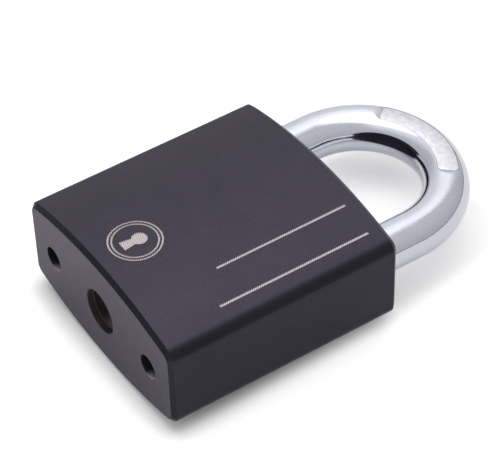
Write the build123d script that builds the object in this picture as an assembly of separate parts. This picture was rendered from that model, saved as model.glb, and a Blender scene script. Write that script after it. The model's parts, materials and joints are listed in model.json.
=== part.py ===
from build123d import *
import math
import os

# A solid-body padlock lying on its back, as an assembly of separate pieces.
# All lengths are in millimetres. +Z is up, +Y runs from the keyhole face to the shackle bend,
# +X is the width, with the toe leg of the shackle on +X and the heel leg on -X.
# Pieces are modelled with y = 0 on the keyhole face and shifted at the end, so that the origin
# lies on the floor under the middle of the whole lock.

# Driving sizes of the outside
body_width = 50.0
body_height = 50.3
edge_thickness = 17.8
crown = 3.5
side_fillet = 2.6
end_chamfer = 0.9
leg_offset = 16.9
bar_diameter = 9.4
leg_exposed = 9.05
keyhole_diameter = 9.4
drain_diameter = 5.0
pad_depth = 0.55
pad_angle = 78.0
rule_width = 0.5
rule_depth = 0.12
inner_rule_x = 12.7
inner_rule_from = 18.1
outer_rule_x = 20.05
outer_rule_from = 13.95
rules_to = 46.85

# Driving sizes of the lock mechanism
ball_diameter = 8.0
ball_engagement = 2.1
heel_hold = 1.0
ball_level_below_top = 9.2
toe_depth = 15.5
lift_margin = 0.5
heel_collar = 3.0
spring_room = 11.0
lip_thickness = 1.5
pocket_radius = 6.5
bible_width = 6.0
bible_reach = 9.8
plug_diameter = 8.6
plug_recess = 4.2
flange_width = 0.85
flange_thickness = 1.2
pin_pitch = 3.9
pin_front_wall = 3.15
pin_rear_wall = 3.5
pin_diameter = 2.5
driver_length = 2.2
key_pin_lengths = [3.1, 4.3, 3.7, 4.0, 3.4]
pin_tip = 0.6
pin_floor = 0.6
keyway_width = 2.0
keyway_above = 3.0
keyway_below = 3.4
cover_thickness = 0.8
cover_width = 3.2
cover_margin = 2.6
tail_diameter = 6.0
tail_length = 2.5
tang_thickness = 2.2
tang_width = 5.4
tang_length = 3.9
clip_diameter = 10.4
clip_thickness = 0.7
clip_groove_depth = 0.5
cam_height = 9.0
cam_hub_height = 4.25
cam_hub_diameter = 9.0
journal_diameter = 5.0
journal_length = 1.7
top_plug_thickness = 4.0
screw_diameter = 3.0
screw_reach = 1.9
socket_across_flats = 1.5
socket_depth = 1.6
shackle_wire = 1.0
shackle_coil_radius = 3.6
shackle_turns = 8.0
pin_wire = 0.24
pin_coil_radius = 0.95
pin_spring_turns = 4.0
bar_end_chamfer = 0.6

# Clearances
running_gap = 0.05
sliding_gap = 0.1
ball_gap = 0.08
groove_gap = 0.15
cam_gap = 0.25
seat_gap = 0.05
floor_gap = 0.8

# Sizes that follow
mid_z = edge_thickness / 2 + crown
crown_radius = (body_width**2 / 4 + crown**2) / (2 * crown)
bar_radius = bar_diameter / 2
bore_radius = bar_radius + sliding_gap
bend_y = body_height + leg_exposed
overall_length = bend_y + leg_offset + bar_radius
ball_radius = ball_diameter / 2
ball_y = body_height - ball_level_below_top
leg_face = leg_offset - bar_radius
locked_x = leg_face + ball_engagement - ball_radius
toe_open_x = leg_face - 2 * sliding_gap - ball_radius
heel_open_x = leg_face + heel_hold - ball_radius
channel_radius = ball_radius + ball_gap
groove_radius = ball_radius + groove_gap
toe_end = body_height - toe_depth
toe_floor = toe_end - floor_gap
lift = toe_depth + lift_margin
ring_y = ball_y - lift
heel_end = ring_y - groove_radius - heel_collar
heel_floor = heel_end - spring_room
flat_face = leg_face + heel_hold + groove_gap + sliding_gap
pad_floor = bar_radius - pad_depth
plug_radius = plug_diameter / 2
plug_bore = plug_radius + running_gap
flange_radius = plug_radius + flange_width
flange_bore = flange_radius + running_gap
plug_front = lip_thickness + plug_recess
flange_seat = plug_front + flange_thickness + seat_gap
cam_bottom = ball_y - cam_height / 2
cam_top = ball_y + cam_height / 2
cam_base = cam_bottom - cam_hub_height
tail_end = cam_base - seat_gap
housing_end = tail_end - tail_length
housing_reach = bible_reach - seat_gap
pin_radius = pin_diameter / 2
chamber_radius = pin_radius + seat_gap
first_pin = flange_seat + pin_front_wall
pin_count = 1 + math.floor((housing_end - pin_rear_wall - first_pin) / pin_pitch)
pin_levels = [first_pin + index * pin_pitch for index in range(pin_count)]
pin_top = math.sqrt(plug_radius**2 - pin_radius**2) - seat_gap
driver_base = plug_radius + running_gap
driver_top = driver_base + driver_length
cover_base = housing_reach - cover_thickness
cover_from = first_pin - cover_margin
cover_to = pin_levels[-1] + cover_margin
tail_radius = tail_diameter / 2
clip_base = housing_end + seat_gap
clip_top = clip_base + clip_thickness
clip_bore = tail_radius - clip_groove_depth
cam_lobe = locked_x - ball_radius - cam_gap
cam_toe = toe_open_x - ball_radius - cam_gap
cam_heel = heel_open_x - ball_radius - cam_gap
top_plug_base = body_height - top_plug_thickness
journal_radius = journal_diameter / 2
screw_y = body_height - top_plug_thickness / 2
screw_radius = screw_diameter / 2
screw_tip = pocket_radius - screw_reach
screw_head = leg_offset - bore_radius - sliding_gap


def level(y):
    """Plane across the lock at height y on the keyhole axis; its own axes run along Z and X."""
    return Plane(origin=(0, y, mid_z), x_dir=(0, 0, 1), z_dir=(0, 1, 0))


def bar(y_from, y_to, radius, x=0.0):
    """Round bar along Y from one height to another, beside the keyhole axis by x."""
    return extrude(level(y_from) * Pos(0, x) * Circle(radius), y_to - y_from)


def cross_bar(x_from, x_to, y, radius):
    """Round bar along X through the keyhole axis plane."""
    across = Plane(origin=(x_from, y, mid_z), z_dir=(1, 0, 0))
    return extrude(across * Circle(radius), x_to - x_from)


def upright(z_from, z_to, y, radius):
    """Round bar along Z over the keyhole axis, with heights measured from that axis."""
    base = Plane(origin=(0, y, mid_z + z_from), z_dir=(0, 0, 1))
    return extrude(base * Circle(radius), z_to - z_from)


def block(x_from, x_to, y_from, y_to, z_from, z_to):
    """Straight block, with its heights in Z measured from the keyhole axis."""
    size = Box(x_to - x_from, y_to - y_from, z_to - z_from)
    return Pos((x_from + x_to) / 2, (y_from + y_to) / 2, mid_z + (z_from + z_to) / 2) * size


def pocket(y_from, y_to, gap):
    """The cylinder pocket's section, a round bore with a straight slot toward the front face."""
    reach = bible_reach - gap
    section = Circle(pocket_radius - gap) + Pos(reach / 2, 0) * Rectangle(reach, bible_width - 2 * gap)
    return extrude(level(y_from) * section, y_to - y_from)


def coil(plane, length, radius, wire, turns):
    """Helical spring of round wire standing on a plane, length over the wire."""
    run = length - wire
    path = plane * Pos(0, 0, wire / 2) * Helix(run / turns, run, radius)
    start = Plane(origin=path @ 0, z_dir=path % 0)
    return sweep(start * Circle(wire / 2), path, is_frenet=True)


def on_front(x, y):
    """Place on the crowned front face, turned to the face."""
    turn = math.asin(x / crown_radius)
    z = mid_z + edge_thickness / 2 + crown - crown_radius * (1 - math.cos(turn))
    return Location((x, y, z), (0, math.degrees(turn), 0))


pieces = {}

# Body, a crowned bar with chamfered ends, bored from the top for the legs and the cylinder
half_edge = edge_thickness / 2
half_crest = half_edge + crown
half_width = body_width / 2
front = ThreePointArc((half_edge, -half_width), (half_crest, 0), (half_edge, half_width))
toe_side = Line((half_edge, half_width), (-half_edge, half_width))
back = ThreePointArc((-half_edge, half_width), (-half_crest, 0), (-half_edge, -half_width))
heel_side = Line((-half_edge, -half_width), (half_edge, -half_width))
outline = make_face([front, toe_side, back, heel_side])
outline = fillet(outline.vertices(), side_fillet)
body = extrude(level(0) * outline, body_height)
ends = body.faces().sort_by(Axis.Y)
body = chamfer(ends[0].edges() + ends[-1].edges(), end_chamfer)
body -= bar(toe_floor, body_height, bore_radius, leg_offset)
body -= bar(heel_floor, body_height, bore_radius, -leg_offset)
body -= bar(0, toe_floor, drain_diameter / 2, leg_offset)
body -= bar(0, heel_floor, drain_diameter / 2, -leg_offset)
body -= bar(0, lip_thickness, keyhole_diameter / 2)
body -= pocket(lip_thickness, body_height, 0)
body -= cross_bar(-leg_offset, leg_offset, ball_y, channel_radius)
body -= cross_bar(0, leg_offset, screw_y, screw_radius)
for x, y_from in ((inner_rule_x, inner_rule_from), (outer_rule_x, outer_rule_from)):
    groove = Box(rule_width, rules_to - y_from, 2 * rule_depth)
    body -= on_front(x, (y_from + rules_to) / 2) * groove
pieces["lock_body"] = body

# Shackle, one bent bar with a ball groove in each leg and a swivel groove near the heel end
heel_run = Line((-leg_offset, heel_end, mid_z), (-leg_offset, bend_y, mid_z))
bend_top = (0, bend_y + leg_offset, mid_z)
bend = ThreePointArc((-leg_offset, bend_y, mid_z), bend_top, (leg_offset, bend_y, mid_z))
toe_run = Line((leg_offset, bend_y, mid_z), (leg_offset, toe_end, mid_z))
shackle = sweep(level(heel_end) * Pos(0, -leg_offset) * Circle(bar_radius), heel_run + bend + toe_run)
tips = shackle.faces().sort_by(Axis.Y)[:2]
shackle = chamfer(tips[0].edges() + tips[1].edges(), bar_end_chamfer)
for side in (1, -1):
    notch = upright(-bar_diameter, bar_diameter, ball_y, groove_radius)
    shackle -= Pos(side * locked_x, 0, 0) * notch
shackle -= block(-flat_face, -leg_face + bar_radius, ring_y, ball_y, -bar_diameter, bar_diameter)
ring = Plane(origin=(-leg_offset, ring_y, mid_z), x_dir=(1, 0, 0), z_dir=(0, 0, 1))
ring_section = ring * Pos(leg_offset - locked_x, 0) * Circle(groove_radius)
shackle -= revolve(ring_section, Axis((-leg_offset, ring_y, mid_z), (0, 1, 0)))
pad_plane = Plane(origin=(0, bend_y, mid_z + pad_floor), z_dir=(0, 0, 1))
pad_ring = Circle(leg_offset + bar_radius) - Circle(leg_offset - bar_radius)
half_pad = math.radians(pad_angle / 2)
far = 2 * (leg_offset + bar_radius)
wedge = Polyline((0, 0), (-far * math.sin(half_pad), far * math.cos(half_pad)),
                 (far * math.sin(half_pad), far * math.cos(half_pad)), close=True)
shackle -= extrude(pad_plane * (pad_ring & make_face(wedge)), bar_radius)
pieces["shackle"] = shackle

# Spring under the heel leg
heel_base = Plane(origin=(-leg_offset, heel_floor, mid_z), x_dir=(0, 0, 1), z_dir=(0, 1, 0))
pieces["shackle_spring"] = coil(heel_base, spring_room, shackle_coil_radius, shackle_wire, shackle_turns)

# Cylinder housing with its pin chambers and the cover strip over them
housing = pocket(lip_thickness, housing_end, seat_gap)
housing -= bar(lip_thickness, flange_seat, flange_bore)
housing -= bar(flange_seat, housing_end, plug_bore)
for y in pin_levels:
    housing -= upright(0, cover_base, y, chamber_radius)
strip = block(-cover_width / 2, cover_width / 2, cover_from, cover_to, cover_base, housing_reach)
housing -= strip
pieces["cylinder_housing"] = housing
pieces["chamber_cover"] = strip

# Plug, turned to the open position, with its keyway, pin holes, tail and driving tang
plug = bar(plug_front, plug_front + flange_thickness, flange_radius)
plug += bar(plug_front, housing_end, plug_radius)
plug += bar(housing_end, tail_end, tail_radius)
plug += block(-tang_width / 2, tang_width / 2, tail_end, tail_end + tang_length,
              -tang_thickness / 2, tang_thickness / 2)
plug -= bar(housing_end, clip_top + seat_gap, tail_radius) - bar(housing_end, clip_top + seat_gap, clip_bore)
plug -= block(-keyway_below, keyway_above, plug_front, pin_levels[-1] + pin_radius,
              -keyway_width / 2, keyway_width / 2)
for y in pin_levels:
    plug -= cross_bar(-pin_floor, plug_diameter, y, chamber_radius)
pieces["plug"] = plug

# Clip that keeps the plug in the housing
clip = bar(clip_base, clip_top, clip_diameter / 2)
clip -= bar(clip_base, clip_top, clip_bore + seat_gap)
clip -= block(0, clip_diameter, clip_base, clip_top, -clip_bore, clip_bore)
pieces["plug_clip"] = clip

# Key pins in the plug, driver pins and their springs in the housing
for index, y in enumerate(pin_levels):
    length = key_pin_lengths[index % len(key_pin_lengths)]
    pin = cross_bar(pin_top - length, pin_top, y, pin_radius)
    tip_edge = pin.faces().sort_by(Axis.X)[0].edges()
    pieces[f"key_pin_{index + 1}"] = chamfer(tip_edge, pin_tip)
    pieces[f"driver_pin_{index + 1}"] = upright(driver_base, driver_top, y, pin_radius)
    seat = Plane(origin=(0, y, mid_z + driver_top), z_dir=(0, 0, 1))
    room = cover_base - driver_top
    pieces[f"pin_spring_{index + 1}"] = coil(seat, room, pin_coil_radius, pin_wire, pin_spring_turns)

# Locking cam on the tang, with the low flanks toward the balls in the open position
toe_flank = EllipticalCenterArc((0, 0), cam_lobe, cam_toe, start_angle=0, arc_size=180)
heel_flank = EllipticalCenterArc((0, 0), cam_lobe, cam_heel, start_angle=180, arc_size=180)
cam = extrude(level(cam_bottom) * make_face([toe_flank, heel_flank]), cam_height)
cam += bar(cam_base, cam_bottom, cam_hub_diameter / 2)
cam += bar(cam_top, cam_top + journal_length, journal_radius)
slot_width = tang_width / 2 + seat_gap
slot_thickness = tang_thickness / 2 + seat_gap
slot_end = tail_end + tang_length + seat_gap
cam -= block(-slot_width, slot_width, cam_base, slot_end, -slot_thickness, slot_thickness)
pieces["locking_cam"] = cam

# Locking balls in the open position
pieces["toe_ball"] = Pos(toe_open_x, ball_y, mid_z) * Sphere(ball_radius)
pieces["heel_ball"] = Pos(-heel_open_x, ball_y, mid_z) * Sphere(ball_radius)

# Spacer in the slot above the housing, and the top plug with its grub screw
spacer_width = bible_width / 2 - seat_gap
spacer = block(-spacer_width, spacer_width, housing_end, top_plug_base, pocket_radius, housing_reach)
pieces["cylinder_spacer"] = spacer
top_plug = pocket(top_plug_base, body_height, seat_gap)
top_plug -= bar(top_plug_base, cam_top + journal_length + seat_gap, journal_radius + running_gap)
top_plug -= cross_bar(screw_tip - seat_gap, pocket_radius, screw_y, screw_radius)
pieces["top_plug"] = top_plug
screw = cross_bar(screw_tip, screw_head, screw_y, screw_radius)
socket_plane = Plane(origin=(screw_head - socket_depth, screw_y, mid_z), z_dir=(1, 0, 0))
socket = RegularPolygon(socket_across_flats / 2, 6, major_radius=False)
screw -= extrude(socket_plane * socket, socket_depth)
pieces["top_plug_screw"] = screw

# One file for each piece
os.makedirs("parts", exist_ok=True)
for name, piece in pieces.items():
    export_step(Pos(0, -overall_length / 2, 0) * piece, f"parts/{name}.step")
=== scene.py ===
# %% [markdown]
# The padlock and its frame
#
# The lock is already built as solids, one for each piece, and they arrive here as a fixed frame in
# metres. This lesson dresses them: the two big pieces, body and shackle, are modelled again with clean
# smooth meshes, the springs are copied, and every piece gets a finish made of nodes. The solids that are
# modelled again or copied are hidden, not removed.

# %% Load the frame
import json
import math
import bmesh
import bpy
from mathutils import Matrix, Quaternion, Vector


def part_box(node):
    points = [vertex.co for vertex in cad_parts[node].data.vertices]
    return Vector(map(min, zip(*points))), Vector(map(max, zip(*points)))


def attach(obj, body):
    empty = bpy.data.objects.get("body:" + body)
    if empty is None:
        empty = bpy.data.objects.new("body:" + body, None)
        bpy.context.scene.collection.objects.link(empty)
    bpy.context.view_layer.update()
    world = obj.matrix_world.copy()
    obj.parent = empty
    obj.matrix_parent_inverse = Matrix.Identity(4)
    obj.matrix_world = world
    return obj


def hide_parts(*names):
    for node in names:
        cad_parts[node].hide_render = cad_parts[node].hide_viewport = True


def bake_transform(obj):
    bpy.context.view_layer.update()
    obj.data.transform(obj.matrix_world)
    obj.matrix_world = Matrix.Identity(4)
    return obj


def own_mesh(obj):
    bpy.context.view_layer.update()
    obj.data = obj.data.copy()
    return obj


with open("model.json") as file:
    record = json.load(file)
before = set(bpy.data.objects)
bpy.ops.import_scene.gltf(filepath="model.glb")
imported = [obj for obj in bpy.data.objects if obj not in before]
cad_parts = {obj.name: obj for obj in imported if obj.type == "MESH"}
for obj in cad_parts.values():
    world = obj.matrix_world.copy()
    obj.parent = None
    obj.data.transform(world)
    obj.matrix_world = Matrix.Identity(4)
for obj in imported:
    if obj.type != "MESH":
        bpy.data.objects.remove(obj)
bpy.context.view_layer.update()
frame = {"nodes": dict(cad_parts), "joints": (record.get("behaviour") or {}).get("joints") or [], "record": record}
nodes = frame["nodes"]
mm = 0.001

# %% [markdown]
# Camera
#
# The lock lies on its crowned back and is seen from the corner between the keyhole face and the toe
# side, about 45 degrees down, through a long lens. A long lens keeps the sides nearly parallel. The
# camera is placed by two points, the eye and what it looks at, because that is easy to read and change.
# It was held a little askew, so it is turned about its line of sight by a small lean.

# %% Place the camera
eye = Vector((264.28, -174.93, 321.49)) * mm
looked_at = Vector((-0.22, -6.97, 12.40)) * mm
sight = looked_at - eye
lean = Quaternion((0, 0, 1), math.radians(-1.89))
bpy.ops.object.select_all(action="DESELECT")
bpy.ops.object.camera_add(location=eye, rotation=(sight.to_track_quat("-Z", "Y") @ lean).to_euler())
camera = bpy.context.object
camera.name = "studio_camera"
camera.data.sensor_fit = "HORIZONTAL"
camera.data.sensor_width = 36.0
camera.data.lens = 166.07
bpy.context.scene.camera = camera
bpy.context.scene.view_settings.view_transform = "Standard"
print("camera", round(sight.length / mm), "mm from the middle of the lock")

# %% [markdown]
# Node maths
#
# Patterns are sums and products of numbers that change over a surface. Drawing each sum as a box in
# the node editor is slow to read, so a small class wraps one socket: an expression on two of them adds
# the Math node that works it out, and every other node comes from one method.


# %% A socket that can be added and multiplied
class Signal:
    """One output socket of a node tree. Arithmetic on it adds Math nodes."""

    def __init__(self, tree, socket):
        self.tree = tree
        self.socket = socket

    def node(self, kind, settings=None, inputs=None, output=0):
        """Adds a node: its type, its settings, and the values or links of its sockets."""
        made = self.tree.nodes.new(kind)
        for key, value in (settings or {}).items():
            setattr(made, key, value)
        for key, value in (inputs or {}).items():
            if isinstance(value, Signal):
                self.tree.links.new(value.socket, made.inputs[key])
            else:
                made.inputs[key].default_value = value
        return Signal(self.tree, made.outputs[output])

    def math(self, operation, other=0.0, swapped=False):
        """A Math node on this and another number, in this order or swapped."""
        first, second = (other, self) if swapped else (self, other)
        return self.node("ShaderNodeMath", {"operation": operation}, {0: first, 1: second})

    def __add__(self, other):
        return self.math("ADD", other)

    def __radd__(self, other):
        return self.math("ADD", other, True)

    def __sub__(self, other):
        return self.math("SUBTRACT", other)

    def __rsub__(self, other):
        return self.math("SUBTRACT", other, True)

    def __mul__(self, other):
        return self.math("MULTIPLY", other)

    def between(self, low, high):
        """0 below low, 1 above high, and a smooth step in the middle."""
        settings = {"interpolation_type": "SMOOTHSTEP"}
        return self.node("ShaderNodeMapRange", settings, {"Value": self, "From Min": low, "From Max": high})

    def stripes(self, pitch, low, high):
        """A saw-tooth with the given pitch in metres, stepped between two shares of a tooth."""
        return (self * (1.0 / pitch)).math("FRACT").between(low, high)

    def axes(self):
        """The three numbers of a place, each as a signal."""
        split = self.tree.nodes.new("ShaderNodeSeparateXYZ")
        self.tree.links.new(self.socket, split.inputs[0])
        return [Signal(self.tree, out) for out in split.outputs]

    def grain(self, size, detail=2.0):
        """Cloudy noise from 0 to 1 with patches of the given size in metres."""
        return self.node("ShaderNodeTexNoise", None, {"Vector": self, "Scale": 1.0 / size, "Detail": detail})

    def stretched(self, along):
        """The place squeezed on each axis, so that a pattern on it is drawn out."""
        return self.node("ShaderNodeVectorMath", {"operation": "MULTIPLY"}, {0: self, 1: along})

    def blend(self, dark, light):
        """A colour from dark, where this is 0, to light, where it is 1."""
        inputs = {0: self, 6: (*dark, 1.0), 7: (*light, 1.0)}
        return self.node("ShaderNodeMix", {"data_type": "RGBA"}, inputs, output=2)

    def bump(self, height, strength):
        """A normal bent by this pattern, as if it stood that high in metres."""
        return self.node("ShaderNodeBump", None, {"Height": self, "Distance": height, "Strength": strength})


def new_finish(name, **constants):
    """A material with its constant sockets set, and the place on the piece as a signal."""
    material = bpy.data.materials.new(name)
    material.use_nodes = True
    tree = material.node_tree
    shader = tree.nodes["Principled BSDF"]
    for key, value in constants.items():
        shader.inputs[key.replace("_", " ").title()].default_value = value
    place = Signal(tree, tree.nodes.new("ShaderNodeTexCoord").outputs["Object"])
    return material, shader, place


def feed(shader, **signals):
    """Links signals to the sockets of a shader."""
    for key, signal in signals.items():
        signal.tree.links.new(signal.socket, shader.inputs[key.replace("_", " ").title()])


print("node maths ready")

# %% [markdown]
# Main sizes of the body
#
# The section of the body is two shallow arcs, one in front and one behind, joined to straight sides by
# fillets. The finish needs these sizes as well as the mesh, because it paints light and shade on the edges.
# Heights are from the floor, and the lock runs along Y from the keyhole face to the shackle.

# %% Sizes of the body
low_y, high_y = -40.475 * mm, 9.825 * mm
mid_y, mid_z = (low_y + high_y) / 2, 12.4 * mm
half_width, half_edge, crown = 25.0 * mm, 8.9 * mm, 3.5 * mm
side_fillet, end_chamfer = 2.6 * mm, 0.9 * mm
crown_radius = (half_width**2 + crown**2) / (2 * crown)
crown_centre = half_edge + crown - crown_radius
fillet_x = half_width - side_fillet
fillet_rise = crown_centre + math.sqrt((crown_radius - side_fillet) ** 2 - fillet_x**2)
body_length, thickness = high_y - low_y, 2 * (half_edge + crown)
print("body", round(body_length / mm, 1), "mm long,", round(thickness / mm, 1), "mm thick")

# %% [markdown]
# Black anodised aluminium
#
# The body is blasted with fine beads and dyed black. What is seen is the metal's own satin mirror, made
# dark and a little violet by the dye in the oxide. So the finish is a metal with a near-black colour: a
# face that mirrors the bright ceiling is dark grey, and one that is seen at a low angle over the white
# table is paler. The blasting is a fine grain in the bump and the roughness, and soft clouds stand for
# handling. The fillets and chamfers carry painted shade, and so do the sides, a little. The sawn ends are
# mottled; the keyhole end carries painted light, and the far end carries painted shade, which darkens its
# mirror image in the bend. How far a place lies past the start of a fillet or chamfer says which of them
# it is on.

# %% Black anodised finish
violet, dye, no_light = (0.97, 0.935, 0.99, 1.0), (0.0699, 0.0643, 0.0879), (0.0, 0.0, 0.0)
painted_light_end, painted_shade_far_end, painted_shade_side, painted_shade_edge = 0.20, 0.5, 0.24, 0.45
black_anodised, shader, place = new_finish("black_anodised", metallic=0.95, specular_tint=violet)
blast = place.grain(0.34 * mm, 3.0)
mottle = place.grain(1.4 * mm, 3.0)
clouds = place.grain(7.0 * mm, 3.0)
x, y, z = place.axes()
past_side = x.math("ABSOLUTE") - fillet_x
past_face = (z - mid_z).math("ABSOLUTE") - fillet_rise
past_end = (y - mid_y).math("ABSOLUTE") - (body_length / 2 - end_chamfer)
on_fillet = past_side.between(0, 0.5 * side_fillet) * past_face.between(0, 0.5 * side_fillet)
on_chamfer = past_end.between(0, 0.1 * mm) * (1 - past_end.between(end_chamfer - 0.1 * mm, end_chamfer))
on_end = past_end.between(end_chamfer - 0.05 * mm, end_chamfer)
on_edge = on_fillet.math("MAXIMUM", on_chamfer)
far_end = on_end * (y - mid_y).between(0, 1 * mm)
on_side = past_side.between(side_fillet - 0.05 * mm, side_fillet)
tone = 0.55 + clouds * 0.18 + (blast - 0.5) * 0.38 + (mottle - 0.5) * on_end * 0.6
# Painted light on the keyhole end; painted shade on the far end, the sides, the fillets and the chamfers.
painted_light_and_shade = 1 + on_end * painted_light_end - far_end * painted_shade_far_end - on_side * painted_shade_side - on_edge * painted_shade_edge
feed(shader, base_color=(tone * painted_light_and_shade).blend(no_light, dye))
feed(shader, roughness=0.30 + clouds * 0.08 + blast * 0.06)
feed(shader, normal=blast.bump(0.012 * mm, 0.25))
print("finish", black_anodised.name)

# %% [markdown]
# Drilled holes
#
# The keyhole is drilled through a thin lip, and the drain holes run on to the bores of the legs. The drill
# leaves fine rings along a hole, and the dye takes unevenly there. The lip is a dull, rough metal with
# painted light towards the front and a painted highlight along its inner edge. The drains are nearly black,
# with painted light on one side of each mouth. The rings are a saw-tooth of the place along the lock.

# %% Drilled finishes
leg_x, lip_depth, ring_pitch = 16.9 * mm, 1.5 * mm, 0.4 * mm
lip_dark, lip_pale = (0.018, 0.016, 0.019), (0.28, 0.26, 0.29)
drilled_lip, shader, place = new_finish("drilled_lip", metallic=0.85)
_, along, up = place.axes()
rings = along.stripes(ring_pitch, 0.2, 0.8)
stain = place.grain(1.5 * mm, 3.0)
# Painted highlight along the lip's inner edge, and painted light towards the front.
painted_highlight_edge = (along - low_y).between(lip_depth - 0.25 * mm, lip_depth - 0.12 * mm)
painted_light_front = (up - mid_z).between(-4.5 * mm, 4.5 * mm)
wear_and_painted_light = ((rings * 0.3 + stain * 0.2) * (1 - painted_highlight_edge) + painted_highlight_edge) * (0.3 + painted_light_front)
feed(shader, base_color=wear_and_painted_light.blend(lip_dark, lip_pale))
feed(shader, roughness=0.55 + stain * 0.15)
feed(shader, normal=rings.bump(0.04 * mm, 0.5))

drain_dark, drain_painted_light = (0.012, 0.011, 0.013), (0.40, 0.385, 0.41)
drilled_drain, shader, place = new_finish("drilled_drain", metallic=0.6)
across, along, up = place.axes()
rings = along.stripes(ring_pitch, 0.2, 0.8)
stain = place.grain(0.6 * mm, 3.0)
beside = across - across.math("SIGN") * leg_x
# Painted light: one side of each drain's mouth is painted pale.
painted_light_mouth = (beside * 0.65 - (up - mid_z) * 0.76).between(0.9 * mm, 2.4 * mm)
painted_light_mouth = painted_light_mouth * (1 - (along - low_y).between(0.2 * mm, 2.0 * mm)) * (0.7 + stain * 0.5)
feed(shader, base_color=painted_light_mouth.blend(drain_dark, drain_painted_light))
feed(shader, roughness=0.5 + stain * 0.15)
feed(shader, normal=rings.bump(0.02 * mm, 0.3))
print("finishes", drilled_lip.name, drilled_drain.name)

# %% [markdown]
# Engraved lines
#
# A laser burns the dye away and leaves bare, bright aluminium. It works in fine slanting strokes, so
# close up a line is a row of hatches. The hatch is a saw-tooth of the place along and across the line.

# %% Engraved finish
hatch_pitch = 0.45 * mm
line_dark, line_pale = (0.10, 0.085, 0.09), (0.74, 0.66, 0.67)
engraved, shader, place = new_finish("engraved_aluminium", metallic=0.35)
across, along, _ = place.axes()
hatch = (across + along).stripes(hatch_pitch, 0.15, 0.55)
specks = place.grain(0.12 * mm, 2.0)
feed(shader, base_color=(hatch * 0.6 + specks * 0.4).blend(line_dark, line_pale))
feed(shader, roughness=0.5 + specks * 0.2)
feed(shader, normal=specks.bump(0.02 * mm, 0.4))
print("finish", engraved.name)

# %% [markdown]
# Chrome
#
# The shackle is hardened steel, polished and chromed. Chrome gives back about two thirds of the light
# and is a little blue. It isn't a perfect mirror: the polish leaves a slow ripple, and handling leaves
# faint smears in the gloss. The flat pad is stamped, so it is duller, with fine lines along it, and the
# groove round it is rougher chrome carrying painted shade.

# %% Chrome finishes
chrome_dark, chrome_pale = (0.54, 0.545, 0.62), (0.71, 0.715, 0.785)
chrome, shader, place = new_finish("polished_chrome", metallic=1.0)
smears = place.stretched((1.0, 0.35, 1.0)).grain(5.0 * mm, 4.0)
ripple = place.grain(4.0 * mm, 1.0)
pits = place.grain(0.45 * mm, 3.0)
feed(shader, base_color=(smears * 0.4 + pits * 0.6).blend(chrome_dark, chrome_pale))
feed(shader, roughness=0.035 + smears.between(0.35, 0.75) * 0.05 + pits * 0.01)
feed(shader, normal=(ripple + pits * 0.25).bump(0.01 * mm, 0.12))

stamped_dark, stamped_pale = (0.54, 0.535, 0.575), (0.82, 0.81, 0.85)
stamped_chrome, shader, place = new_finish("stamped_chrome", metallic=1.0)
lines = place.stretched((0.25, 1.0, 1.0)).grain(0.14 * mm, 3.0)
patches = place.grain(1.1 * mm, 3.0).between(0.3, 0.7)
feed(shader, base_color=(lines * 0.6 + patches * 0.4).blend(stamped_dark, stamped_pale))
feed(shader, roughness=0.16 + patches * 0.10 + lines * 0.06)
feed(shader, normal=(lines * 0.5 + patches * 0.5).bump(0.03 * mm, 0.25))

# Painted shade: the groove round the pad is painted darker than the chrome; its roughness is real.
groove_shade_dark, groove_shade_pale = (0.26, 0.26, 0.29), (0.42, 0.42, 0.46)
dull_chrome_painted_shade, shader, place = new_finish("dull_chrome_painted_shade", metallic=1.0)
patches = place.grain(0.8 * mm, 3.0)
feed(shader, base_color=patches.blend(groove_shade_dark, groove_shade_pale))
feed(shader, roughness=0.30 + patches * 0.15)
feed(shader, normal=patches.bump(0.02 * mm, 0.3))
print("finishes", chrome.name, stamped_chrome.name, dull_chrome_painted_shade.name)

# %% [markdown]
# Turned and drawn metals
#
# Inside are brass pieces turned on a lathe, a cylinder housing plated with black nickel, steel strip,
# a blackened top plug, spring wire and polished balls. They share one recipe: a base metal, a fine
# grain drawn out along the way it was cut, and clouds of tarnish that change both colour and gloss. The
# black nickel is built on its own, because it carries painted light on one side of the mouth.


# %% One recipe for the inner metals
def worked_metal(name, dull, bright, rough, drawn, grain_size, metallic=1.0):
    """A cut metal: two tones, how rough it is, and how the tool marks are drawn out on each axis."""
    material, shader, place = new_finish(name, metallic=metallic)
    marks = place.stretched(drawn).grain(grain_size, 3.0)
    tarnish = place.grain(2.2 * mm, 4.0)
    feed(shader, base_color=(marks * 0.45 + tarnish * 0.55).blend(dull, bright))
    feed(shader, roughness=rough + tarnish * 0.14 + marks * 0.08)
    feed(shader, normal=marks.bump(0.008 * mm, 0.3))
    return material


finishes = {
    "brass": worked_metal("turned_brass", dull=(0.52, 0.36, 0.13), bright=(0.80, 0.60, 0.27),
                          rough=0.18, drawn=(1, 6, 1), grain_size=0.5 * mm),
    "steel": worked_metal("bright_steel", dull=(0.42, 0.42, 0.43), bright=(0.60, 0.60, 0.61),
                          rough=0.22, drawn=(4, 1, 4), grain_size=0.4 * mm),
    "black_steel": worked_metal("blackened_steel", dull=(0.020, 0.020, 0.022), bright=(0.055, 0.054, 0.058),
                                rough=0.34, drawn=(5, 1, 1), grain_size=0.3 * mm, metallic=0.7),
    "spring_steel": worked_metal("spring_wire", dull=(0.34, 0.34, 0.35), bright=(0.52, 0.52, 0.52),
                                 rough=0.25, drawn=(1, 1, 1), grain_size=0.2 * mm),
    "polished_steel": worked_metal("polished_steel", dull=(0.58, 0.58, 0.60), bright=(0.68, 0.68, 0.69),
                                   rough=0.04, drawn=(1, 1, 1), grain_size=0.6 * mm),
}

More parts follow.
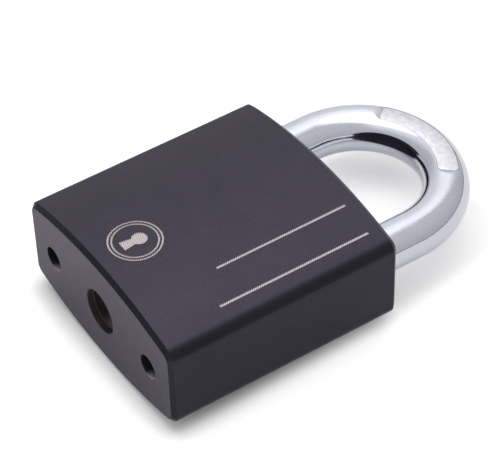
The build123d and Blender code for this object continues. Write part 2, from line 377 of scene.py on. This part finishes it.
nickel_dark, nickel_tarnish_and_painted_light = (0.009, 0.008, 0.009), (0.36, 0.335, 0.35)
black_nickel, shader, place = new_finish("black_nickel", metallic=0.4)
marks = place.stretched((1, 5, 1)).grain(0.4 * mm, 3.0)
tarnish = place.grain(2.2 * mm, 4.0)
across, along, up = place.axes()
# Painted light: the housing is painted pale on one side of the keyhole's mouth, near the front.
painted_light_mouth = (across * 0.6 - (up - mid_z) * 0.8).between(1.8 * mm, 4.7 * mm)
painted_light_mouth = painted_light_mouth * (1 - (along - low_y).between(2.0 * mm, 6.5 * mm)) * (0.4 + marks * 0.9)
tone = (marks * 0.45 + tarnish * 0.55) * 0.25 + painted_light_mouth * 0.75
feed(shader, base_color=tone.blend(nickel_dark, nickel_tarnish_and_painted_light))
feed(shader, roughness=0.26 + tarnish * 0.14 + marks * 0.08)
feed(shader, normal=marks.bump(0.008 * mm, 0.3))
finishes["black_nickel"] = black_nickel
print("inner finishes", sorted(finishes))

# %% [markdown]
# Working by hand, in code
#
# Every new piece starts as a primitive and is shaped in edit mode. These few helpers do what the mouse
# would: start a piece, pick the points, edges or faces at a place, spin, extrude, and close the mesh.
# A primitive's place goes straight into its mesh, so that its own coordinates are the lock's. Points
# closer than a hair count as one point, and a place within reach counts as that place.

# %% Modelling helpers
hair, reach = 0.001 * mm, 0.01 * mm
lengthwise, crosswise = (math.pi / 2, 0, 0), (0, math.pi / 2, 0)


def take(piece):
    """Selects one piece alone, as a click on it does."""
    bpy.ops.object.select_all(action="DESELECT")
    piece.select_set(True)
    bpy.context.view_layer.objects.active = piece


def start(name, add, **where):
    """Adds a primitive, puts its place into its mesh and opens it in edit mode."""
    bpy.ops.object.select_all(action="DESELECT")
    add(**where)
    piece = bpy.context.object
    piece.name = piece.data.name = name
    bpy.ops.object.transform_apply(location=True, rotation=True, scale=True)
    bpy.ops.object.mode_set(mode="EDIT")
    return piece


def pick(kind, test):
    """Selects the points, edges or faces all of whose points pass a test."""
    mesh = bmesh.from_edit_mesh(bpy.context.edit_object.data)
    bpy.ops.mesh.select_mode(type=kind)
    bpy.ops.mesh.select_all(action="DESELECT")
    for part in {"VERT": mesh.verts, "EDGE": mesh.edges, "FACE": mesh.faces}[kind]:
        points = [part.co] if kind == "VERT" else [point.co for point in part.verts]
        if all(test(point) for point in points):
            part.select_set(True)
    mesh.select_flush_mode()
    bmesh.update_edit_mesh(bpy.context.edit_object.data)


def spin(angle, steps, center, axis):
    """Turns the selected edge round an axis by the right-hand rule."""
    # Without a window the tool turns the other way.
    bpy.ops.mesh.spin(steps=steps, angle=-angle, center=center, axis=axis)


def pull(x=0.0, y=0.0, z=0.0):
    """Extrudes what is selected."""
    bpy.ops.mesh.extrude_region_move(TRANSFORM_OT_translate={"value": (x, y, z)})


def weld():
    """Joins doubled points and leaves the whole mesh selected."""
    bpy.ops.mesh.select_all(action="SELECT")
    bpy.ops.mesh.remove_doubles(threshold=hair)


def close(piece):
    """Joins doubled points, turns all faces outwards and leaves edit mode."""
    bpy.ops.mesh.select_mode(type="VERT")
    weld()
    bpy.ops.mesh.normals_make_consistent(inside=False)
    bpy.ops.object.mode_set(mode="OBJECT")
    return piece


def cut(piece, tool, keep_finish=False):
    """Takes a tool's shape out of a piece, for good. The cut can keep the tool's own finish."""
    take(piece)
    change = piece.modifiers.new("cut", "BOOLEAN")
    change.operation = "DIFFERENCE"
    change.solver = "EXACT"
    change.material_mode = "TRANSFER" if keep_finish else "INDEX"
    change.object = tool
    bpy.ops.object.modifier_apply(modifier=change.name)


def discard(*tools):
    """Throws away tools that have done their cut."""
    for tool in tools:
        bpy.data.objects.remove(tool)


def smooth(piece, degrees):
    """Shades a piece smoothly, except over edges sharper than an angle."""
    take(piece)
    bpy.ops.object.shade_smooth_by_angle(angle=math.radians(degrees))


print("helpers ready")

# %% [markdown]
# The body block
#
# The body is cut from a crowned bar: a shallow arc in front, the same behind, straight sides and small
# fillets between them. A bevel on a finely cut arc would run over its neighbours, so the section is
# drawn the way a compass would draw it: one long edge is spun round the crown, round the fillet, pulled
# down the side, and so on until it meets itself. The ends are filled and inset with a depth, which gives
# the crisp chamfer in one step.

# %% Draw the body block
crown_steps, fillet_steps, crease = 72, 12, 28
tilt = math.asin(fillet_x / (crown_radius - side_fillet))
turn = math.pi / 2 - tilt
along_lock = (0, 1, 0)
straight = body_length - 2 * end_chamfer
edge_x = -crown_radius * math.sin(tilt)
edge_z = mid_z + crown_centre + crown_radius * math.cos(tilt)


def long_edge(name, drop=0.0):
    """One edge along the lock where the front's arc begins, or that much lower."""
    piece = start(name, bpy.ops.mesh.primitive_plane_add, size=straight,
                  location=(edge_x + straight / 2, mid_y, edge_z - drop))
    pick("VERT", lambda p: p.x > edge_x + mm)
    bpy.ops.mesh.delete(type="VERT")
    bpy.ops.mesh.select_all(action="SELECT")
    return piece


body = long_edge("body_shell")
for side in (1, -1):
    spin(2 * tilt, crown_steps, (0, 0, mid_z + side * crown_centre), along_lock)
    spin(turn, fillet_steps, (side * fillet_x, 0, mid_z + side * fillet_rise), along_lock)
    pull(z=-2 * side * fillet_rise)
    spin(turn, fillet_steps, (side * fillet_x, 0, mid_z - side * fillet_rise), along_lock)
weld()
for end_y in (low_y + end_chamfer, high_y - end_chamfer):
    pick("EDGE", lambda p: abs(p.y - end_y) < reach)
    bpy.ops.mesh.edge_face_add()
bpy.ops.mesh.select_all(action="SELECT")
bpy.ops.mesh.normals_make_consistent(inside=False)
for end_y in (low_y + end_chamfer, high_y - end_chamfer):
    pick("FACE", lambda p: abs(p.y - end_y) < reach)
    bpy.ops.mesh.inset(thickness=end_chamfer, depth=end_chamfer)
close(body)
body.data.materials.append(black_anodised)
print("body block", len(body.data.polygons), "faces, mm", [round(side / mm, 2) for side in body.dimensions])

# %% [markdown]
# Bores in the body
#
# The legs slide in two deep bores from the top, each with a drain hole through to the keyhole face. The
# cylinder sits in a pocket behind a thin lip with the round keyhole. Real drills leave a small broken
# edge at each mouth, and that thin ring is what catches the light. So each drill is a disc pulled out
# step by step along the lock, with a wider last step where the mouth is.


# %% Drill the body
def drill(name, x, steps):
    """A round tool along the lock from pairs of radius and height, for one bore."""
    first_radius, first_y = steps[0]
    tool = start(name, bpy.ops.mesh.primitive_circle_add, vertices=96, radius=first_radius,
                 fill_type="NGON", location=(x, first_y, mid_z), rotation=lengthwise)
    for (radius, y), (next_radius, next_y) in zip(steps, steps[1:]):
        pick("FACE", lambda p: abs(p.y - y) < hair)
        pull(y=next_y - y)
        ratio = next_radius / radius
        bpy.ops.transform.resize(value=(ratio, 1, ratio), center_override=(x, next_y, mid_z))
    return close(tool)


bore_radius, drain_radius, keyhole_radius, pocket_radius = 4.8 * mm, 2.42 * mm, 4.6 * mm, 6.5 * mm
toe_floor, heel_floor, lip = low_y + 34.0 * mm, low_y + 6.95 * mm, low_y + lip_depth
broken_edge, over = 0.08 * mm, 1.0 * mm


def mouth(radius, face, outward):
    """The last steps of a drill: the broken edge, then clear of the face."""
    wide = radius + broken_edge
    return [(radius, face - outward * broken_edge), (wide, face), (wide, face + outward * over)]


bores = [
    drill("toe_bore", leg_x, [(bore_radius, toe_floor)] + mouth(bore_radius, high_y, 1)),
    drill("heel_bore", -leg_x, [(bore_radius, heel_floor)] + mouth(bore_radius, high_y, 1)),
    drill("pocket", 0.0, [(pocket_radius, lip), (pocket_radius, high_y + over)]),
]
holes = [
    drill("toe_drain", leg_x, [(drain_radius, toe_floor + over)] + mouth(drain_radius, low_y, -1)),
    drill("heel_drain", -leg_x, [(drain_radius, heel_floor + over)] + mouth(drain_radius, low_y, -1)),
    drill("keyhole", 0.0, [(keyhole_radius, lip + over)] + mouth(keyhole_radius, low_y, -1)),
]
for tool in bores:
    cut(body, tool)
for tool, finish in zip(holes, (drilled_drain, drilled_drain, drilled_lip)):
    tool.data.materials.append(finish)
    cut(body, tool, keep_finish=True)
discard(*bores, *holes)
print("body drilled,", len(body.data.polygons), "faces")

# %% [markdown]
# Slot, ball channel and screw hole
#
# The pocket has a straight slot toward the front for the pin chambers. A cross bore lets the locking
# balls reach the legs, and a small one takes the grub screw of the top plug. A cube and two cylinders
# are enough as tools, because they only leave walls behind.

# %% Cut the slot and the cross bores
slot_reach, slot_half, slot_length = 9.8 * mm, 3.0 * mm, high_y + over - lip
ball_y, screw_y = low_y + 41.1 * mm, low_y + 48.3 * mm
channel_radius, screw_radius = 4.08 * mm, 1.5 * mm
tools = [
    start("pin_slot", bpy.ops.mesh.primitive_cube_add, size=1.0,
          location=(0, lip + slot_length / 2, mid_z + slot_reach / 2),
          scale=(2 * slot_half, slot_length, slot_reach)),
]
close(tools[0])
for name, points, radius, length, middle in (
    ("ball_channel", 72, channel_radius, 2 * leg_x, (0, ball_y, mid_z)),
    ("screw_hole", 48, screw_radius, leg_x, (leg_x / 2, screw_y, mid_z)),
):
    tools.append(close(start(name, bpy.ops.mesh.primitive_cylinder_add, vertices=points, radius=radius,
                             depth=length, location=middle, rotation=crosswise)))
for tool in tools:
    cut(body, tool)
discard(*tools)
print("cross bores cut,", len(body.data.polygons), "faces")

# %% [markdown]
# Engraving
#
# Two plain rules run along the front, and a ring with a keyhole sign marks the end where the key goes
# in. The floor of an engraved line follows the crown, so each tool is a flat outline pulled up through
# the face, whose lower end is trimmed by a copy of the body block let down by the engraving's depth. The
# cut keeps the tool's own bright finish.

# %% Engrave the front
engraving_depth = 0.12 * mm
former_top = mid_z + half_edge + crown + 2 * mm


def engrave(tool, former):
    """Pulls a flat outline up through the front face and cuts it to the engraving's depth."""
    pick("FACE", lambda p: True)
    pull(z=former_top - mid_z)
    close(tool)
    tool.data.materials.append(engraved)
    cut(tool, former)
    cut(body, tool, keep_finish=True)
    discard(tool)


former = long_edge("former", engraving_depth)
spin(2 * tilt, crown_steps, (0, 0, mid_z + crown_centre - engraving_depth), along_lock)
bpy.ops.mesh.select_all(action="SELECT")
pull(z=-former_top)
close(former)

rule_width, rule_end = 0.5 * mm, low_y + 46.85 * mm
inner_rule, outer_rule = (12.7 * mm, low_y + 18.1 * mm), (20.05 * mm, low_y + 13.95 * mm)
for name, (x, start_y) in (("inner_rule", inner_rule), ("outer_rule", outer_rule)):
    length, middle = rule_end - start_y, (x, (start_y + rule_end) / 2, mid_z)
    rule = start(name, bpy.ops.mesh.primitive_plane_add, size=length, location=middle)
    bpy.ops.transform.resize(value=(rule_width / length, 1, 1), center_override=middle)
    engrave(rule, former)

sign_x, sign_y, line = -1.2 * mm, low_y + 9.3 * mm, 0.36 * mm
for ring_radius in (5.3 * mm, 4.6 * mm):
    ring = start("sign_ring", bpy.ops.mesh.primitive_circle_add, vertices=96, radius=ring_radius,
                 fill_type="NGON", location=(sign_x, sign_y, mid_z))
    bpy.ops.mesh.inset(thickness=line)
    bpy.ops.mesh.delete(type="FACE")
    engrave(ring, former)

eye_y, foot_y, foot_flare = sign_y + 0.9 * mm, sign_y - 2.9 * mm, 1.7
sign = start("sign_keyhole", bpy.ops.mesh.primitive_circle_add, vertices=64, radius=1.55 * mm,
             fill_type="NGON", location=(sign_x, eye_y, mid_z))
pick("VERT", lambda p: p.y < eye_y - 1.35 * mm)
bpy.ops.transform.resize(value=(foot_flare, 0, 1), center_override=(sign_x, foot_y, mid_z))
engrave(sign, former)
discard(former)
smooth(body, crease)
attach(body, "lock")
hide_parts("lock_body")
print("body engraved,", len(body.data.polygons), "faces, finishes", [m.name for m in body.data.materials])

# %% [markdown]
# The shackle bar
#
# The shackle is one round bar bent to a half circle. A circle is pulled up the heel leg, spun half a
# turn round the middle of the bend and pulled down the toe leg, so the rings stay evenly spaced in the
# bend, where a mirror finish would show every flat. The ends are inset with a depth for their chamfers.

# %% Bend the bar
bar_radius, bend_y = 4.7 * mm, 18.875 * mm
heel_end, toe_end, tip_chamfer = low_y + 17.95 * mm, low_y + 34.8 * mm, 0.6 * mm
neck_y = high_y - 3.0 * mm
bar_points, bend_steps, neck_steps = 112, 128, 4
tips = ((-1, heel_end + tip_chamfer), (1, toe_end + tip_chamfer))
shackle = start("shackle_bar", bpy.ops.mesh.primitive_circle_add, vertices=bar_points, radius=bar_radius,
                fill_type="NOTHING", location=(-leg_x, heel_end + tip_chamfer, mid_z), rotation=lengthwise)
bpy.ops.mesh.select_all(action="SELECT")
pull(y=neck_y - heel_end - tip_chamfer)
for step in range(neck_steps):
    pull(y=(bend_y - neck_y) / neck_steps)
spin(math.pi, bend_steps, (0, bend_y, mid_z), (0, 0, -1))
for step in range(neck_steps):
    pull(y=(neck_y - bend_y) / neck_steps)
pull(y=toe_end + tip_chamfer - neck_y)
for side, end_y in tips:
    pick("EDGE", lambda p: abs(p.y - end_y) < reach and side * p.x > 0)
    bpy.ops.mesh.edge_face_add()
weld()
bpy.ops.mesh.normals_make_consistent(inside=False)
for side, end_y in tips:
    pick("FACE", lambda p: abs(p.y - end_y) < reach and side * p.x > 0)
    bpy.ops.mesh.inset(thickness=tip_chamfer, depth=tip_chamfer)
close(shackle)
shackle.data.materials.append(chrome)
print("shackle bar", len(shackle.data.polygons), "faces")

# %% [markdown]
# The stamped pad
#
# A pad is stamped into the front of the bend. It is flat across, leans outwards a little, has rounded
# corners, and runs out to the bar in a short ramp at each end. Its tool is one short edge spun along the
# bend. At each end the edge goes on in small turns while it shrinks along a quarter circle, which rounds
# the corners. The tool is pulled up, and its upper ends are turned on round the bend to give the ramps.
# The floor then gets the dull finish with painted shade, is inset and raised a little. The raised part gets
# the stamped finish, which leaves a fine groove of dull chrome with painted shade round it.

# %% Stamp the pad
pad_radius, pad_half, pad_corner = leg_x + 0.36 * mm, 2.15 * mm, 1.0 * mm
pad_floor, pad_lean, pad_height = mid_z + 4.09 * mm, 0.09, 2.0 * mm
pad_ends = ((1, math.radians(35.6)), (-1, math.radians(40.4)))
corner_turn, ramp_turn = pad_corner / pad_radius, math.radians(15.0)
pad_steps, corner_steps = 36, 8
groove_width, groove_depth = 0.16 * mm, 0.05 * mm
bend_middle = (0, bend_y, pad_floor)


def on_pad_floor(p):
    """Whether a point lies on the leaning floor of the pad."""
    out = math.hypot(p.x, p.y - bend_y) - pad_radius
    return p.y > bend_y and abs(p.z - pad_floor + pad_lean * out) < 2 * hair


pad = start("pad_tool", bpy.ops.mesh.primitive_plane_add, size=2 * pad_half,
            location=(-pad_half, bend_y + pad_radius, pad_floor))
pick("VERT", lambda p: p.x < -pad_half)
bpy.ops.mesh.delete(type="VERT")
for outward in (1, -1):
    pick("VERT", lambda p: outward * (p.y - bend_y - pad_radius) > 0)
    bpy.ops.transform.translate(value=(0, 0, -outward * pad_lean * pad_half))
for direction, pad_turn in pad_ends:
    pick("EDGE", lambda p: abs(p.x) < hair)
    spin(pad_turn - corner_turn, pad_steps, bend_middle, (0, 0, -direction))
    angle, half = pad_turn - corner_turn, pad_half
    for step in range(1, corner_steps + 1):
        share = math.radians(90.0 * step / corner_steps)
        next_angle = pad_turn - corner_turn * (1 - math.sin(share))
        next_half = pad_half - pad_corner * (1 - math.cos(share))
        spin(next_angle - angle, 1, bend_middle, (0, 0, -direction))
        middle_x = direction * pad_radius * math.sin(next_angle)
        middle = (middle_x, bend_y + pad_radius * math.cos(next_angle), pad_floor)
        bpy.ops.transform.resize(value=(next_half / half,) * 3, center_override=middle)
        angle, half = next_angle, next_half
weld()
pick("FACE", lambda p: True)
pull(z=pad_height)
for direction, pad_turn in pad_ends:
    start_turn = pad_turn - corner_turn + 0.001
    pick("VERT", lambda p: p.z > pad_floor + pad_height / 2
         and direction * math.atan2(p.x, p.y - bend_y) > start_turn)
    bpy.ops.transform.rotate(value=direction * ramp_turn, orient_axis="Z", center_override=bend_middle)
close(pad)
pad.data.materials.append(chrome)
cut(shackle, pad, keep_finish=True)
discard(pad)

bpy.ops.object.mode_set(mode="EDIT")
for finish in (stamped_chrome, dull_chrome_painted_shade):
    shackle.data.materials.append(finish)
# The pad floor gets the dull finish with painted shade, which stays in the groove after the inset.
pick("FACE", on_pad_floor)
shackle.active_material_index = shackle.data.materials.find(dull_chrome_painted_shade.name)
bpy.ops.object.material_slot_assign()
bpy.ops.mesh.inset(thickness=groove_width, depth=groove_depth)
shackle.active_material_index = shackle.data.materials.find(stamped_chrome.name)
bpy.ops.object.material_slot_assign()
bpy.ops.object.mode_set(mode="OBJECT")
print("pad stamped,", len(shackle.data.polygons), "faces")

# %% [markdown]
# Notches for the balls
#
# Each leg has a notch for its locking ball. The heel leg also has a flat up to a ring groove, in which
# the ball runs when the lock is open, so that the heel stays in the body. They come to light when the
# shackle is lifted. Cylinders, a cube and a torus are the tools.

# %% Cut the notches
ball_x, flat_x, ring_y = 10.3 * mm, 13.45 * mm, low_y + 25.1 * mm
groove_radius, flat_cut, notch_length = 4.15 * mm, 5 * mm, 14 * mm
notches = []
for side in (1, -1):
    notch = start("ball_notch", bpy.ops.mesh.primitive_cylinder_add, vertices=72, radius=groove_radius,
                  depth=notch_length, location=(side * ball_x, ball_y, mid_z))
    notches.append(close(notch))
flat = start("heel_flat", bpy.ops.mesh.primitive_cube_add, size=1.0,
             location=(-flat_x + flat_cut / 2, (ring_y + ball_y) / 2, mid_z),
             scale=(flat_cut, ball_y - ring_y, notch_length))
notches.append(close(flat))
ring_groove = start("ring_groove", bpy.ops.mesh.primitive_torus_add, major_segments=96, minor_segments=48,
                    major_radius=leg_x - ball_x, minor_radius=groove_radius,
                    location=(-leg_x, ring_y, mid_z), rotation=lengthwise)
notches.append(close(ring_groove))
for tool in notches:
    cut(shackle, tool)
discard(*notches)
smooth(shackle, crease)
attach(shackle, "shackle")
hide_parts("shackle")
print("shackle notched,", len(shackle.data.polygons), "faces")

# %% [markdown]
# Finishes for the inner pieces
#
# The other pieces keep the shape of their solids. Each names its finish in the record, so the loop
# looks it up there and puts the node material of that name on the piece.

# %% Dress the inner pieces
finishes["black_aluminium"] = black_anodised
finishes["chrome"] = chrome
for subpart in frame["record"]["subparts"]:
    for slot in nodes[subpart["node"]].material_slots:
        slot.material = finishes[subpart["material_slot"]]

# %% [markdown]
# Springs that work
# Spring copies
# A spring touches two pieces, one at each end, so to ride on one body isn't enough. Each spring is
# therefore a merged copy of its solid that stands for it. A pin spring rides on the lock and is pressed
# against the cover when its driver pin lifts; how far it would flatten, by as much as the pin can rise and
# a little play, is worked out here but not applied. The shackle spring is pressed short while the lock is
# shut; its copy only has its place put into its mesh and rides on no body.

# %% Make the springs
pin_spring_play, wire_crease = 0.02 * mm, 40


def working_copy(node):
    """A merged copy of a node's mesh that stands for the node and has no body yet."""
    spring = bpy.data.objects.new(f"{node}_coil", nodes[node].data.copy())
    bpy.context.scene.collection.objects.link(spring)
    take(spring)
    bpy.ops.mesh.customdata_custom_splitnormals_clear()
    bpy.ops.object.mode_set(mode="EDIT")
    smooth(close(spring), wire_crease)
    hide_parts(node)
    return spring


rise = {joint["name"]: joint["range_m"][1] for joint in frame["joints"] if "range_m" in joint}
for number in range(1, 6):
    joint = f"driver_pin_{number}_slide"
    spring = working_copy(f"pin_spring_{number}")
    low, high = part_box(f"pin_spring_{number}")
    length = high.z - low.z
    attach(spring, "lock")
    (length - rise[joint] - pin_spring_play) / length
    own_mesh(spring)
low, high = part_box("shackle_spring")
shackle_coil = working_copy("shackle_spring")
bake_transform(shackle_coil)
print("springs made, shackle spring", round((high.y - low.y) / mm, 1), "mm while shut")

# %% [markdown]
# Floor
#
# The lock lies on a white table that fades into a white background. The floor is plain matt white. Away
# from the body the camera sees painted light added to it, so that it reads as white paper and the shadow
# stays close to the lock. Beside the toe leg, and on the slanting strip of floor inside the loop, less painted
# light is added. In front of the keyhole and under the loop the floor carries a painted reflection, a paler card.

# %% Lay the floor
floor = start("floor", bpy.ops.mesh.primitive_plane_add, size=6.0, location=(0, 0, 0))
bpy.ops.object.mode_set(mode="OBJECT")
paper_dark, paper_pale = (0.88, 0.88, 0.88), (0.90, 0.90, 0.90)
paper, shader, place = new_finish("white_paper", roughness=0.9)
shader.inputs["Specular IOR Level"].default_value = 0.0
ways = place.tree.nodes.new("ShaderNodeLightPath")
seen = Signal(place.tree, ways.outputs["Is Camera Ray"])
mirrored = Signal(place.tree, ways.outputs["Is Glossy Ray"])
floor_painted_light, front_painted_reflection, loop_painted_reflection = 0.42, 0.30, 0.14
side_slant, foot_slant, loop_slant, toe_shade = 0.055, 0.03, 1.15, 0.56
x, y, _ = place.axes()
above = y - high_y
past_sides = x.math("ABSOLUTE") - half_width + (y - mid_y) * side_slant
past_foot = low_y - y + x * foot_slant
past_strip = x - above * loop_slant
beside = past_sides.between(-4.2 * mm, 2.2 * mm)
below = past_foot.between(-1.7 * mm, 4.7 * mm)
in_loop = past_strip.between(-41.4 * mm, -23.4 * mm) * (1 - x.between(1 * mm, 9 * mm) * toe_shade)
past_bend = above.between(29 * mm, 38 * mm)
beyond = above.between(0, 2 * mm) * in_loop.math("MAXIMUM", past_bend)
# Painted light lifts the floor for the camera away from the lock; painted reflections lie in front of the keyhole
# and under the loop.
painted_light_area = 1 - (1 - beside) * (1 - below) * (1 - beyond)
in_front = (low_y - y).between(5 * mm, 25 * mm)
under_loop = above.between(0, 6 * mm) * (1 - above.between(25 * mm, 35 * mm))
under_loop = under_loop * x.between(-16 * mm, 0) * (1 - x.between(6 * mm, 16 * mm))
painted_reflections = in_front * front_painted_reflection + under_loop * loop_painted_reflection
feed(shader, base_color=place.grain(30 * mm, 2.0).blend(paper_dark, paper_pale))
feed(shader, emission_color=seen * painted_light_area * floor_painted_light + mirrored * painted_reflections)
shader.inputs["Emission Strength"].default_value = 1.0
floor.data.materials.append(paper)
print("floor laid")

# %% [markdown]
# Room and light
#
# The camera sees a white room. What the mirrors see of it is brightest straight up, then in a tall white
# sheet behind the lock and in a glow high on the left. The other walls are an even mid grey, which
# darkens the rounded edges of the body and draws the soft bands in the chrome. A wide softbox hangs over
# the lock and stays out of the mirrors. Behind and left are told by the camera's level line of sight.

# %% Light the room
sight_east, sight_north = -0.844, 0.536
wall_grey, wall_rise, ceiling_light, glow_light, soft_light = 0.55, 0.22, 0.85, 0.42, 0.82
sheet_low, sheet_rise = 0.33, 0.39
world = bpy.data.worlds.new("studio")
bpy.context.scene.world = world
world.use_nodes = True
tree = world.node_tree
background = tree.nodes["Background"]
ways = tree.nodes.new("ShaderNodeLightPath")
seen = Signal(tree, ways.outputs["Is Camera Ray"])
mirrored = Signal(tree, ways.outputs["Is Glossy Ray"])
sky = Signal(tree, tree.nodes.new("ShaderNodeTexCoord").outputs["Generated"])
east, north, height = sky.axes()
level = (1.0001 - height * height).math("SQRT")
behind = (north * sight_north + east * sight_east).math("DIVIDE", level)
left = (east * -sight_north + north * sight_east).math("DIVIDE", level)
sheet = behind.between(0.64, 0.98) * (sheet_low + height.between(0.38, 0.85) * sheet_rise)
glow = left.between(0.0, 0.6) * height.between(0.50, 0.85)
ceiling = (height + behind * 0.02 + left * 0.05).between(0.85, 0.91)
walls = wall_grey + height * wall_rise + sheet + ceiling * ceiling_light + glow * glow_light
room = walls * height.between(-0.03, 0.06)
light = seen + (1 - seen) * (mirrored * room + (1 - mirrored) * soft_light)
tree.links.new(light.socket, background.inputs["Color"])
background.inputs["Strength"].default_value = 1.0

bpy.ops.object.select_all(action="DESELECT")
bpy.ops.object.light_add(type="AREA", location=(-0.10, 0.08, 0.80))
softbox = bpy.context.object
softbox.name = "softbox"
softbox.rotation_euler = (Vector((0, 0, 0)) - softbox.location).to_track_quat("-Z", "Y").to_euler()
softbox.data.shape = "RECTANGLE"
softbox.data.size = softbox.data.size_y = 0.9
softbox.data.energy = 2.4
softbox.visible_glossy = False
print("room lit")
